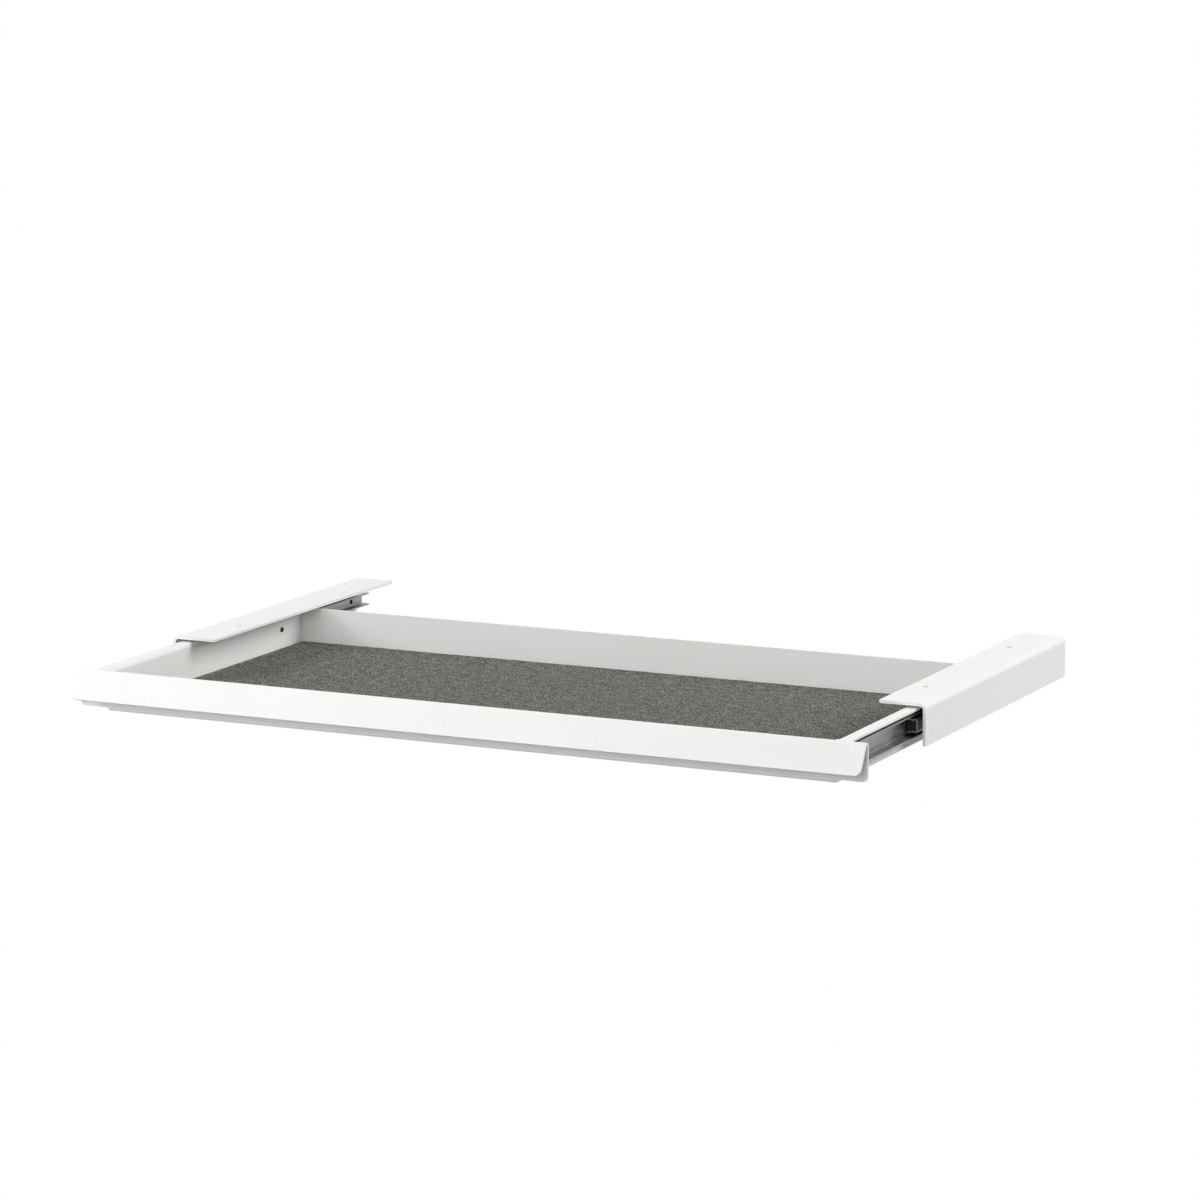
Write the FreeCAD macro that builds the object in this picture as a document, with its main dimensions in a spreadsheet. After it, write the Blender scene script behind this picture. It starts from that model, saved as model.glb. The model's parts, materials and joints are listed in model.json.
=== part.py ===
# Desk drawer: a shallow sheet-metal tray hung under a desk top from two angle brackets,
# on a pair of small ball-bearing slides. It is shown half open, as in the photograph.
# Frame: the middle of the four desk-screw holes, on the brackets' top faces, +Z up,
# +X to the user's right, and the drawer opens towards -Y.
import FreeCAD, Part
import math
import os
import re
import Sketcher

os.makedirs("parts", exist_ok=True)
doc = FreeCAD.newDocument("DeskDrawer")

# Driving dimensions, in millimetres
DRIVING = [
    ("outer_width", 600, "over the two brackets"),
    ("bracket_flange", 35, "width of the flange under the desk"),
    ("bracket_height", 30, "height of the upright wall"),
    ("bracket_sheet", 2, "sheet thickness"),
    ("bracket_bend", 2.5, "inside radius of the bend"),
    ("bracket_corner", 2, "rounding of the sheet's corners"),
    ("desk_hole", 5, "diameter of the screw holes in the flange"),
    ("desk_hole_inset", 23, "hole to the bracket's outer face"),
    ("desk_hole_spacing", 164, "front hole to back hole"),
    ("slide_thickness", 13.5, "space for the slide between bracket and tray"),
    ("slide_height", 17.5, "height of the drawer's rail over its ball races"),
    ("slide_drop", 16, "desk face to the slide's centre line"),
    ("slide_length", 278, "length of a rail, and of its bracket"),
    ("rail_sheet", 1, "sheet thickness of both rails"),
    ("rail_bend", 0.5, "inside radius of the rails' bends"),
    ("rail_lip_gap", 5.6, "drawer rail's lip to the bracket"),
    ("pad_height", 3.8, "raised mounting pads of the cabinet rail"),
    ("pad_wall", 1, "rim of a raised pad"),
    ("pad_margin", 0.1, "raised pad to the bend beside it"),
    ("ball_diameter", 3, "bearing ball"),
    ("ball_clearance", 0.15, "ball to its race"),
    ("flange_gap", 2.5, "between the two rails' flanges, beside the races"),
    ("balls_per_row", 3, "balls in each row of a cage"),
    ("ball_pitch", 26, "ball to ball along a row"),
    ("cage_sheet", 0.6, "sheet thickness of the ball cage"),
    ("cage_clearance", 0.3, "cage to the rails"),
    ("cage_length", 64, "length of the ball cage"),
    ("cage_edge", 0.3, "strip left beside the ball pockets"),
    ("pocket_clearance", 0.1, "ball to its pocket"),
    ("closing_travel", 115.5, "from the pose shown to closed"),
    ("opening_travel", 84.5, "from the pose shown to fully open"),
    ("closed_gap", 2, "front panel to the brackets when closed"),
    ("stop_length", 5.5, "plastic stop plugged into the cabinet rail's front end"),
    ("stop_recess", 0.3, "stop's face behind the rail's end"),
    ("stop_chamfer", 0.8, "cut corners of the stop"),
    ("stop_clearance", 0.1, "stop to the rail"),
    ("catch_length", 1.5, "punched catch at the drawer rail's back end"),
    ("catch_width", 1.6, "width of the catch across the race"),
    ("catch_clearance", 0.35, "catch to the cabinet rail's race"),
    ("tray_sheet", 1.5, "sheet thickness"),
    ("tray_back_gap", 1.8, "drawer rail's back end to the tray's back face"),
    ("tray_depth", 29.8, "top of the side flange to the underside"),
    ("tray_clearance", 1.75, "bracket flange to the tray's flange"),
    ("tray_lip_gap", 4.3, "tray flange to the bracket's wall"),
    ("tray_top_bend", 1.2, "inside radius of the flange bend"),
    ("tray_floor_bend", 0.6, "inside radius round the floor"),
    ("front_wall_drop", 3, "front wall below the flange's top"),
    ("felt_thickness", 2.6, "mat on the tray's floor"),
    ("felt_margin", 0.1, "mat to the floor bend"),
    ("felt_corner", 2, "rounding of the mat's corners"),
    ("panel_overhang", 6.5, "front panel past each bracket"),
    ("panel_sheet", 1.5, "sheet thickness"),
    ("panel_bend", 1, "inside radius of the fold along the top"),
    ("panel_drop", 3.65, "desk face to the panel's top"),
    ("panel_height", 27.1, "top to bottom"),
    ("panel_corner", 4, "rounding of the panel's lower corners"),
    ("flap_reach", 13.3, "flap's lower edge in front of the fold"),
    ("flap_drop", 20, "flap's lower edge below the panel's top"),
    ("flap_corner", 4.5, "rounding of the flap's lower corners"),
    ("screw_diameter", 3, "shank of the slide screws"),
    ("screw_clearance", 0.05, "shank to its hole, all round"),
    ("screw_head", 4, "diameter of the rail screws' heads"),
    ("screw_head_height", 1.2, "height of the rail screws' heads"),
    ("cabinet_head_height", 2.4, "height of the cabinet rail screws' heads"),
    ("cabinet_head_clearance", 0.1, "cabinet rail screw's head to the pad's rim"),
    ("cabinet_screw_inset", 17.5, "cabinet rail screw to the bracket's end"),
    ("cabinet_screw_skin", 0.4, "bracket wall left in front of the screw's end"),
    ("rail_screw_inset", 30.8, "drawer rail screw to the rail's end"),
    ("rail_screw_short", 0.1, "screw's end inside the rail's web"),
    ("rivet_diameter", 3, "shank of the panel rivets"),
    ("rivet_head", 5, "diameter of a rivet's head"),
    ("rivet_head_height", 1, "height of a rivet's head"),
    ("rivet_tail", 4.4, "diameter of a rivet's formed end"),
    ("rivet_tail_height", 0.8, "height of a rivet's formed end"),
    ("rivet_drop", 13, "desk face to the row of rivets"),
    ("rivet_margin", 40, "end rivet to the tray's side wall"),
]
RIVET_COUNT = 3

# Sizes and places that follow from the driving ones
DERIVED = [
    ("half_width", "outer_width / 2"),
    ("bracket_length", "slide_length"),
    ("panel_width", "outer_width + 2 * panel_overhang"),
    ("bracket_outer_bend", "bracket_bend + bracket_sheet"),
    ("bracket_inner", "half_width - bracket_sheet"),
    ("flange_edge", "half_width - bracket_flange"),
    ("bracket_front", "-bracket_length / 2"),
    ("slide_level", "-slide_drop"),
    ("wall_outer", "bracket_inner - slide_thickness"),
    ("wall_inner", "wall_outer - tray_sheet"),
    ("tray_top", "-(bracket_sheet + tray_clearance)"),
    ("tray_bottom", "tray_top - tray_depth"),
    ("floor_top", "tray_bottom + tray_sheet"),
    ("tray_outer_bend", "tray_floor_bend + tray_sheet"),
    ("lip_outer_bend", "tray_top_bend + tray_sheet"),
    ("lip_edge", "bracket_inner - tray_lip_gap"),
    ("panel_rear", "bracket_front - closed_gap - closing_travel"),
    ("panel_front", "panel_rear - panel_sheet"),
    ("tray_front_inner", "panel_rear + tray_sheet"),
    ("rail_outer_bend", "rail_bend + rail_sheet"),
    ("race_radius", "ball_diameter / 2 + ball_clearance"),
    ("race_back", "race_radius + rail_sheet"),
    ("ball_rise", "slide_height / 2 - race_back"),
    ("cage_space", "flange_gap / 2"),
    ("race_mouth", "sqrt(race_radius * race_radius - cage_space * cage_space)"),
    ("hump_rise", "cage_space + rail_sheet"),
    ("race_hump", "sqrt(race_back * race_back - hump_rise * hump_rise)"),
    ("drawer_flange_inner", "ball_rise + cage_space"),
    ("drawer_flange_outer", "drawer_flange_inner + rail_sheet"),
    ("drawer_web", "wall_outer + rail_sheet"),
    ("drawer_lip", "bracket_inner - rail_lip_gap"),
    ("drawer_rail_front", "bracket_front - closing_travel"),
    ("drawer_rail_back", "drawer_rail_front + slide_length"),
    ("tray_back", "drawer_rail_back + tray_back_gap"),
    ("tray_back_inner", "tray_back - tray_sheet"),
    ("cage_web_inner", "drawer_web + cage_clearance"),
    ("cage_web_outer", "cage_web_inner + cage_sheet"),
    ("cage_middle", "-closing_travel / 2"),
    ("cabinet_lip", "cage_web_outer + cage_clearance"),
    ("cabinet_web_outer", "bracket_inner - pad_height"),
    ("cabinet_web_inner", "cabinet_web_outer - rail_sheet"),
    ("ball_line", "(cabinet_lip + cabinet_web_outer) / 2"),
    ("ball_pocket", "ball_diameter / 2 + pocket_clearance"),
    ("ball_flat", "ball_diameter / 2 / sqrt(7 - 4 * sqrt(2))"),
    ("ball_bevel", "ball_flat * (2 - sqrt(2))"),
    ("cage_strip_edge", "ball_line + ball_pocket + cage_edge"),
    ("cabinet_flange_outer", "ball_rise - cage_space"),
    ("cabinet_flange_inner", "cabinet_flange_outer - rail_sheet"),
    ("cabinet_rail_front", "bracket_front"),
    ("cabinet_rail_back", "bracket_front + slide_length"),
    ("cabinet_screw_place", "bracket_length / 2 - cabinet_screw_inset"),
    ("cabinet_seat", "bracket_inner - rail_sheet"),
    ("pad_radius", "cabinet_flange_inner - rail_bend - pad_margin"),
    ("dimple_radius", "pad_radius - pad_wall"),
    ("stop_rise", "ball_rise - race_back - stop_clearance"),
    ("stop_outer", "cabinet_web_inner - stop_clearance"),
    ("cabinet_head", "dimple_radius - cabinet_head_clearance"),
    ("cabinet_head_face", "cabinet_seat - cabinet_head_height"),
    ("cabinet_screw_end", "bracket_inner + bracket_sheet - cabinet_screw_skin - screw_clearance"),
    ("screw_hole", "screw_diameter / 2 + screw_clearance"),
    ("rivet_hole", "rivet_diameter / 2 + screw_clearance"),
    ("panel_outer_bend", "panel_bend + panel_sheet"),
    ("fold_place", "panel_rear - panel_outer_bend"),
    ("fold_level", "-panel_drop - panel_outer_bend"),
    ("flap_fall", "flap_drop - panel_outer_bend"),
    ("flap_span", "sqrt(flap_reach * flap_reach + flap_fall * flap_fall)"),
    ("flap_angle", "acos(panel_outer_bend / flap_span) - atan(flap_fall / flap_reach)"),
    ("felt_side", "wall_inner - tray_floor_bend - felt_margin"),
    ("felt_front", "tray_front_inner + tray_floor_bend + felt_margin"),
    ("felt_back", "tray_back_inner - tray_floor_bend - felt_margin"),
]

sheet = doc.addObject("Spreadsheet::Sheet", "Dimensions")
for row, (name, value, note) in enumerate(DRIVING, start=1):
    sheet.set(f"A{row}", name)
    sheet.set(f"B{row}", str(value))
    sheet.set(f"C{row}", note)
    sheet.setAlias(f"B{row}", name)
for row, (name, formula) in enumerate(DERIVED, start=len(DRIVING) + 1):
    sheet.set(f"A{row}", name)
    sheet.set(f"B{row}", "=" + formula)
    sheet.setAlias(f"B{row}", name)
doc.recompute()
NAMES = {entry[0] for entry in DRIVING} | {entry[0] for entry in DERIVED}
SIDES = {"left": -1, "right": 1}


def linked(text):
    """The text with each sheet name written as a reference to its cell."""
    return re.sub(r"[a-z_]+", lambda m: "Dimensions." + m[0] if m[0] in NAMES else m[0], str(text))


def size(text):
    """The value of a text of sheet names."""
    return float(sheet.evalExpression(linked(text)))


def new_body(label):
    body = doc.addObject("PartDesign::Body", label)
    body.Label = label
    return body


def new_sketch(body, name, plane, level, rise="0"):
    """A sketch on one of the body's origin planes, moved to a level along that plane's axis."""
    sketch = body.newObject("Sketcher::SketchObject", name)
    support = [f for f in body.Origin.OriginFeatures if f.Role == plane][0]
    sketch.AttachmentSupport = [(support, "")]
    sketch.MapMode = "FlatFace"
    facing = -1 if plane == "XZ_Plane" else 1
    sketch.setExpression(".AttachmentOffset.Base.y", linked(rise))
    sketch.setExpression(".AttachmentOffset.Base.z", linked(f"{facing} * ({level})"))
    return sketch


def fix(sketch, kind, label, text, *place):
    """One dimension of a sketch, tied to the sheet."""
    index = sketch.addConstraint(Sketcher.Constraint(kind, *place, size(text)))
    sketch.renameConstraint(index, label)
    sketch.setExpression("Constraints." + label, linked(text))


def outline(body, name, plane, level, corners, side=1, rise="0"):
    """A closed outline. A corner is (across, up), and (across, up, radius, turn) where an arc
    leads on to the next corner, turning left or right. Side -1 mirrors it."""
    sketch = new_sketch(body, name, plane, level, rise)
    texts = [(f"{side} * ({c[0]})", c[1]) for c in corners]
    points = [FreeCAD.Vector(size(a), size(b), 0) for a, b in texts]
    starts = []
    ends = []
    for i, corner in enumerate(corners):
        p = points[i]
        q = points[(i + 1) % len(points)]
        if len(corner) == 2:
            edge = sketch.addGeometry(Part.LineSegment(p, q), False)
            starts.append((edge, 1))
            ends.append((edge, 2))
            continue
        radius = size(corner[2])
        left = (corner[3] == "left") == (side > 0)
        chord = q - p
        normal = FreeCAD.Vector(-chord.y, chord.x, 0).normalize() * (1 if left else -1)
        reach = math.sqrt(max(radius * radius - (chord.Length / 2) ** 2, 0))
        centre = (p + q) * 0.5 + normal * reach
        first, last = (p, q) if left else (q, p)
        turn_from = math.atan2(first.y - centre.y, first.x - centre.x)
        turn_to = math.atan2(last.y - centre.y, last.x - centre.x)
        circle = Part.Circle(centre, FreeCAD.Vector(0, 0, 1), radius)
        edge = sketch.addGeometry(Part.ArcOfCircle(circle, turn_from, turn_to), False)
        fix(sketch, "Radius", f"radius_{i}", corner[2], edge)
        starts.append((edge, 1 if left else 2))
        ends.append((edge, 2 if left else 1))
    for i, (across, up) in enumerate(texts):
        sketch.addConstraint(Sketcher.Constraint("Coincident", *ends[i - 1], *starts[i]))
        fix(sketch, "DistanceX", f"across_{i}", across, *starts[i])
        fix(sketch, "DistanceY", f"up_{i}", up, *starts[i])
    return sketch


def circles(body, name, plane, level, centres, radius):
    """Round outlines, all of one radius."""
    sketch = new_sketch(body, name, plane, level)
    for i, (across, up) in enumerate(centres):
        middle = FreeCAD.Vector(size(across), size(up), 0)
        ring = Part.Circle(middle, FreeCAD.Vector(0, 0, 1), size(radius))
        edge = sketch.addGeometry(ring, False)
        fix(sketch, "DistanceX", f"across_{i}", across, edge, 3)
        fix(sketch, "DistanceY", f"up_{i}", up, edge, 3)
        fix(sketch, "Radius", f"radius_{i}", radius, edge)
    return sketch


def rectangle(x0, x1, y0, y1):
    return [(x0, y0), (x1, y0), (x1, y1), (x0, y1)]


def octagon(across, up, reach):
    """Eight corners round a point, with the flats at the reach."""
    near_flat = f"({reach}) * (sqrt(2) - 1)"
    signs = [(1, 1), (-1, 1), (-1, -1), (1, -1)]
    corners = []
    for i, (a, b) in enumerate(signs):
        steep = (f"{across} + {a} * ({reach})", f"{up} + {b} * {near_flat}")
        shallow = (f"{across} + {a} * {near_flat}", f"{up} + {b} * ({reach})")
        corners += [steep, shallow] if i % 2 == 0 else [shallow, steep]
    return corners


def pad(body, name, sketch, length, reverse=False):
    feature = body.newObject("PartDesign::Pad", name)
    feature.Profile = sketch
    feature.setExpression("Length", linked(length))
    feature.Reversed = reverse
    body.Tip = feature
    doc.recompute()
    return feature


def pocket(body, name, sketch, length, reverse=False):
    """A cut, which must take material away."""
    before = body.Shape.Volume
    feature = body.newObject("PartDesign::Pocket", name)
    feature.Profile = sketch
    feature.setExpression("Length", linked(length))
    feature.Reversed = reverse
    body.Tip = feature
    doc.recompute()
    if body.Shape.Volume >= before - 1e-6:
        raise ValueError(f"{name} cuts nothing")
    return feature


def row_of(body, name, feature, sketch, axis, pitch, count):
    """Repeats a feature in a straight row."""
    before = body.Shape.Volume
    pattern = body.newObject("PartDesign::LinearPattern", name)
    pattern.Originals = [feature]
    pattern.Direction = (sketch, [axis])
    doc.recompute()
    pattern.setExpression("Length", linked(f"({pitch}) * ({count} - 1)"))
    pattern.setExpression("Occurrences", linked(count))
    body.Tip = pattern
    doc.recompute()
    if abs(body.Shape.Volume - before) < 1e-6:
        raise ValueError(f"{name} repeats nothing")
    return pattern


def round_edges(body, name, radius, test, kind="Fillet", measure="Radius"):
    """Rounds or bevels the straight edges whose middle and direction pass the test."""
    chosen = []
    for i, edge in enumerate(body.Shape.Edges, start=1):
        if edge.Curve.TypeId != "Part::GeomLine":
            continue
        if test(edge.CenterOfMass, edge.tangentAt(edge.FirstParameter)):
            chosen.append(f"Edge{i}")
    if not chosen:
        raise ValueError(f"{name} finds no edge")
    base = body.Tip
    feature = body.newObject("PartDesign::" + kind, name)
    feature.Base = (base, chosen)
    feature.setExpression(measure, linked(radius))
    body.Tip = feature
    doc.recompute()
    return feature


def turned(label, plane, level, rise, profile):
    """A turned piece: the half outline goes round the sketch's own across-axis."""
    body = new_body(label)
    sketch = outline(body, label + "_half", plane, level, profile, 1, rise)
    turn = body.newObject("PartDesign::Revolution", label + "_turn")
    turn.Profile = sketch
    turn.ReferenceAxis = (sketch, ["H_Axis"])
    turn.Angle = 360
    body.Tip = turn
    doc.recompute()
    return body


def group(label, members):
    """Identical small pieces that share one node."""
    together = doc.addObject("Part::Compound", label)
    together.Label = label
    together.Links = members
    return together


def near(a, text, slack=0.01):
    return abs(a - size(text)) < slack


def along(direction, axis):
    """Whether an edge runs mainly along one axis."""
    others = [abs(getattr(direction, name)) for name in "xyz" if name != axis]
    return abs(getattr(direction, axis)) > sum(others)


nodes = []

# Angle brackets: a flange under the desk and an upright wall that carries the slide
for hand, side in SIDES.items():
    bracket = new_body(f"{hand}_bracket")
    angle = [
        ("flange_edge", "0"),
        ("flange_edge", "-bracket_sheet"),
        ("bracket_inner - bracket_bend", "-bracket_sheet", "bracket_bend", "right"),
        ("bracket_inner", "-bracket_sheet - bracket_bend"),
        ("bracket_inner", "-bracket_height"),
        ("half_width", "-bracket_height"),
        ("half_width", "-bracket_outer_bend", "bracket_outer_bend", "left"),
        ("half_width - bracket_outer_bend", "0"),
    ]
    profile = outline(bracket, f"{hand}_angle", "XZ_Plane", "bracket_front", angle, side)
    pad(bracket, f"{hand}_angle_pad", profile, "bracket_length", reverse=True)
    round_edges(
        bracket, f"{hand}_flange_corners", "bracket_corner",
        lambda m, d, s=side: along(d, "z") and near(m.x * s, "flange_edge"),
    )
    round_edges(
        bracket, f"{hand}_wall_corners", "bracket_corner",
        lambda m, d: along(d, "x") and near(m.z, "-bracket_height"),
    )
    hole_across = f"{side} * (half_width - desk_hole_inset)"
    front_hole = circles(
        bracket, f"{hand}_desk_hole", "XY_Plane", "0",
        [(hole_across, "-desk_hole_spacing / 2")], "desk_hole / 2",
    )
    cut = pocket(bracket, f"{hand}_desk_hole_cut", front_hole, "bracket_sheet")
    row_of(bracket, f"{hand}_desk_holes", cut, front_hole, "V_Axis", "desk_hole_spacing", "2")
    taps = circles(
        bracket, f"{hand}_taps", "YZ_Plane", f"{side} * bracket_inner",
        [("cabinet_screw_place", "slide_level"), ("-cabinet_screw_place", "slide_level")],
        "screw_hole",
    )
    pocket(bracket, f"{hand}_taps_cut", taps, "bracket_sheet - cabinet_screw_skin", side > 0)
    nodes.append(bracket)

# Cabinet rails: the smaller channel, open towards the tray, with a ball race above and below.
# Raised pads hold its web clear of the bracket, so that the drawer's rail passes round it.
for hand, side in SIDES.items():
    rail = new_body(f"{hand}_cabinet_rail")
    channel = [
        ("cabinet_lip", "cabinet_flange_outer"),
        ("ball_line - race_mouth", "cabinet_flange_outer", "race_radius", "left"),
        ("ball_line + race_mouth", "cabinet_flange_outer"),
        ("cabinet_web_outer - rail_outer_bend", "cabinet_flange_outer", "rail_outer_bend", "right"),
        ("cabinet_web_outer", "cabinet_flange_outer - rail_outer_bend"),
        ("cabinet_web_outer", "rail_outer_bend - cabinet_flange_outer", "rail_outer_bend", "right"),
        ("cabinet_web_outer - rail_outer_bend", "-cabinet_flange_outer"),
        ("ball_line + race_mouth", "-cabinet_flange_outer", "race_radius", "left"),
        ("ball_line - race_mouth", "-cabinet_flange_outer"),
        ("cabinet_lip", "-cabinet_flange_outer"),
        ("cabinet_lip", "-cabinet_flange_inner"),
        ("ball_line - race_hump", "-cabinet_flange_inner", "race_back", "right"),
        ("ball_line + race_hump", "-cabinet_flange_inner"),
        ("cabinet_web_inner - rail_bend", "-cabinet_flange_inner", "rail_bend", "left"),
        ("cabinet_web_inner", "rail_bend - cabinet_flange_inner"),
        ("cabinet_web_inner", "cabinet_flange_inner - rail_bend", "rail_bend", "left"),
        ("cabinet_web_inner - rail_bend", "cabinet_flange_inner"),
        ("ball_line + race_hump", "cabinet_flange_inner", "race_back", "right"),
        ("ball_line - race_hump", "cabinet_flange_inner"),
        ("cabinet_lip", "cabinet_flange_inner"),
    ]
    profile = outline(
        rail, f"{hand}_channel", "XZ_Plane", "cabinet_rail_front", channel, side, "slide_level"
    )
    pad(rail, f"{hand}_channel_pad", profile, "cabinet_rail_back - cabinet_rail_front", True)
    screw_places = [("-cabinet_screw_place", "slide_level"), ("cabinet_screw_place", "slide_level")]
    boss = circles(
        rail, f"{hand}_pads", "YZ_Plane", f"{side} * cabinet_web_outer", screw_places, "pad_radius"
    )
    pad(rail, f"{hand}_pads_raised", boss, "pad_height", side < 0)
    dimple = circles(
        rail, f"{hand}_dimples", "YZ_Plane", f"{side} * cabinet_web_inner",
        screw_places, "dimple_radius",
    )
    pocket(rail, f"{hand}_dimples_pressed", dimple, "pad_height", side > 0)
    bores = circles(
        rail, f"{hand}_pad_holes", "YZ_Plane", f"{side} * cabinet_web_inner",
        screw_places, "screw_hole",
    )
    pocket(rail, f"{hand}_pad_holes_cut", bores, "pad_height + rail_sheet", side > 0)
    nodes.append(rail)

# Cabinet rail screws: the head sits in the pad's dimple and the shank in the bracket's wall
for hand, side in SIDES.items():
    screws = []
    for end, place in {"front": "-cabinet_screw_place", "back": "cabinet_screw_place"}.items():
        half = [
            (f"{side} * cabinet_head_face", "0"),
            (f"{side} * cabinet_screw_end", "0"),
            (f"{side} * cabinet_screw_end", "screw_diameter / 2"),
            (f"{side} * cabinet_seat", "screw_diameter / 2"),
            (f"{side} * cabinet_seat", "cabinet_head"),
            (f"{side} * cabinet_head_face", "cabinet_head"),
        ]
        screws.append(turned(f"{hand}_cabinet_screw_{end}", "XZ_Plane", place, "slide_level", half))
    nodes.append(group(f"{hand}_cabinet_screws", screws))

# Front stops: plastic plugs pressed into the cabinet rails, whose noses hold the cages in
for hand, side in SIDES.items():
    stop = new_body(f"{hand}_front_stop")
    plug = [
        ("cage_web_inner", "stop_rise - stop_chamfer"),
        ("cage_web_inner + stop_chamfer", "stop_rise"),
        ("stop_outer - stop_chamfer", "stop_rise"),
        ("stop_outer", "stop_rise - stop_chamfer"),
        ("stop_outer", "stop_chamfer - stop_rise"),
        ("stop_outer - stop_chamfer", "-stop_rise"),
        ("cage_web_inner + stop_chamfer", "-stop_rise"),
        ("cage_web_inner", "stop_chamfer - stop_rise"),
    ]
    profile = outline(
        stop, f"{hand}_plug", "XZ_Plane", "cabinet_rail_front + stop_recess",
        plug, side, "slide_level",
    )
    pad(stop, f"{hand}_plug_pad", profile, "stop_length", True)
    nodes.append(stop)

# Tray: one sheet with four walls, closed corners and side flanges turned outwards
tray = new_body("tray")
block = rectangle("-wall_outer", "wall_outer", "panel_rear", "tray_back")
profile = outline(tray, "tray_block", "XY_Plane", "tray_bottom", block)
pad(tray, "tray_block_pad", profile, "tray_depth")
round_edges(
    tray, "tray_under_bends", "tray_outer_bend",
    lambda m, d: near(m.z, "tray_bottom"),
)
inside = rectangle("-wall_inner", "wall_inner", "tray_front_inner", "tray_back_inner")
profile = outline(tray, "tray_inside", "XY_Plane", "tray_top", inside)
pocket(tray, "tray_inside_cut", profile, "tray_depth - tray_sheet")
round_edges(
    tray, "tray_floor_bends", "tray_floor_bend",
    lambda m, d: near(m.z, "floor_top"),
)
for hand, side in SIDES.items():
    lip = [
        ("wall_outer - tray_sheet / 2", "tray_top"),
        ("wall_outer - tray_sheet / 2", "tray_top - tray_sheet - tray_top_bend"),
        ("wall_outer", "tray_top - tray_sheet - tray_top_bend", "tray_top_bend", "right"),
        ("wall_outer + tray_top_bend", "tray_top - tray_sheet"),
        ("lip_edge", "tray_top - tray_sheet"),
        ("lip_edge", "tray_top"),
    ]
    profile = outline(tray, f"{hand}_lip", "XZ_Plane", "panel_rear", lip, side)
    pad(tray, f"{hand}_lip_pad", profile, "tray_back - panel_rear", True)
round_edges(
    tray, "lip_bends", "lip_outer_bend",
    lambda m, d: along(d, "y") and near(m.z, "tray_top") and near(abs(m.x), "wall_inner"),
)
round_edges(
    tray, "lip_back_corners", "bracket_corner",
    lambda m, d: along(d, "z") and near(m.y, "tray_back") and near(abs(m.x), "lip_edge"),
)
low_front = rectangle("-wall_inner", "wall_inner", "panel_rear", "tray_front_inner")
profile = outline(tray, "front_wall_top", "XY_Plane", "tray_top", low_front)
pocket(tray, "front_wall_lowered", profile, "front_wall_drop")
front_screw = "drawer_rail_front + rail_screw_inset"
back_screw = "drawer_rail_back - rail_screw_inset"
rail_screw_places = [(front_screw, "slide_level"), (back_screw, "slide_level")]
for hand, side in SIDES.items():
    holes = circles(
        tray, f"{hand}_wall_holes", "YZ_Plane", f"{side} * wall_inner", rail_screw_places, "screw_hole"
    )
    pocket(tray, f"{hand}_wall_holes_cut", holes, "tray_sheet", side > 0)
rivet_reach = "wall_inner - rivet_margin"
rivet_pitch = f"2 * ({rivet_reach}) / {RIVET_COUNT - 1}"
first_rivet = [(f"-({rivet_reach})", "-rivet_drop")]
first = circles(tray, "front_hole", "XZ_Plane", "panel_rear", first_rivet, "rivet_hole")
cut = pocket(tray, "front_hole_cut", first, "tray_sheet")
row_of(tray, "front_holes", cut, first, "H_Axis", rivet_pitch, str(RIVET_COUNT))
nodes.append(tray)

# Front panel: an upright sheet folded over along the top into a slanted flap, the finger pull
panel = new_body("front_panel")
section = [
    ("panel_rear", "-panel_drop - panel_height"),
    ("panel_rear", "fold_level", "panel_outer_bend", "left"),
    (
        "fold_place - panel_outer_bend * cos(flap_angle)",
        "fold_level + panel_outer_bend * sin(flap_angle)",
    ),
    ("fold_place - flap_reach", "-panel_drop - flap_drop"),
    (
        "fold_place - flap_reach + panel_sheet * cos(flap_angle)",
        "-panel_drop - flap_drop - panel_sheet * sin(flap_angle)",
    ),
    (
        "fold_place - panel_bend * cos(flap_angle)",
        "fold_level + panel_bend * sin(flap_angle)", "panel_bend", "right",
    ),
    ("panel_front", "fold_level"),
    ("panel_front", "-panel_drop - panel_height"),
]
profile = outline(panel, "panel_section", "YZ_Plane", "-panel_width / 2", section)
pad(panel, "panel_section_pad", profile, "panel_width")
round_edges(
    panel, "panel_corners", "panel_corner",
    lambda m, d: along(d, "y") and near(m.z, "-panel_drop - panel_height")
    and near(abs(m.x), "panel_width / 2"),
)
round_edges(
    panel, "flap_corners", "flap_corner",
    lambda m, d: not along(d, "x") and near(abs(m.x), "panel_width / 2")
    and m.y < size("fold_place - flap_reach + panel_sheet")
    and abs(d.y) > abs(d.z),
)
first = circles(panel, "panel_hole", "XZ_Plane", "panel_front", first_rivet, "rivet_hole")
cut = pocket(panel, "panel_hole_cut", first, "panel_sheet")
row_of(panel, "panel_holes", cut, first, "H_Axis", rivet_pitch, str(RIVET_COUNT))
nodes.append(panel)

# Panel rivets: heads behind the flap, formed ends inside the tray
rivets = []
for i in range(RIVET_COUNT):
    half = [
        ("panel_front - rivet_head_height", "0"),
        ("tray_front_inner + rivet_tail_height", "0"),
        ("tray_front_inner + rivet_tail_height", "rivet_tail / 2"),
        ("tray_front_inner", "rivet_tail / 2"),
        ("tray_front_inner", "rivet_diameter / 2"),
        ("panel_front", "rivet_diameter / 2"),
        ("panel_front", "rivet_head / 2"),
        ("panel_front - rivet_head_height", "rivet_head / 2"),
    ]
    place = f"{i} * ({rivet_pitch}) - ({rivet_reach})"
    rivets.append(turned(f"panel_rivet_{i + 1}", "YZ_Plane", place, "-rivet_drop", half))
nodes.append(group("panel_rivets", rivets))

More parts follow.
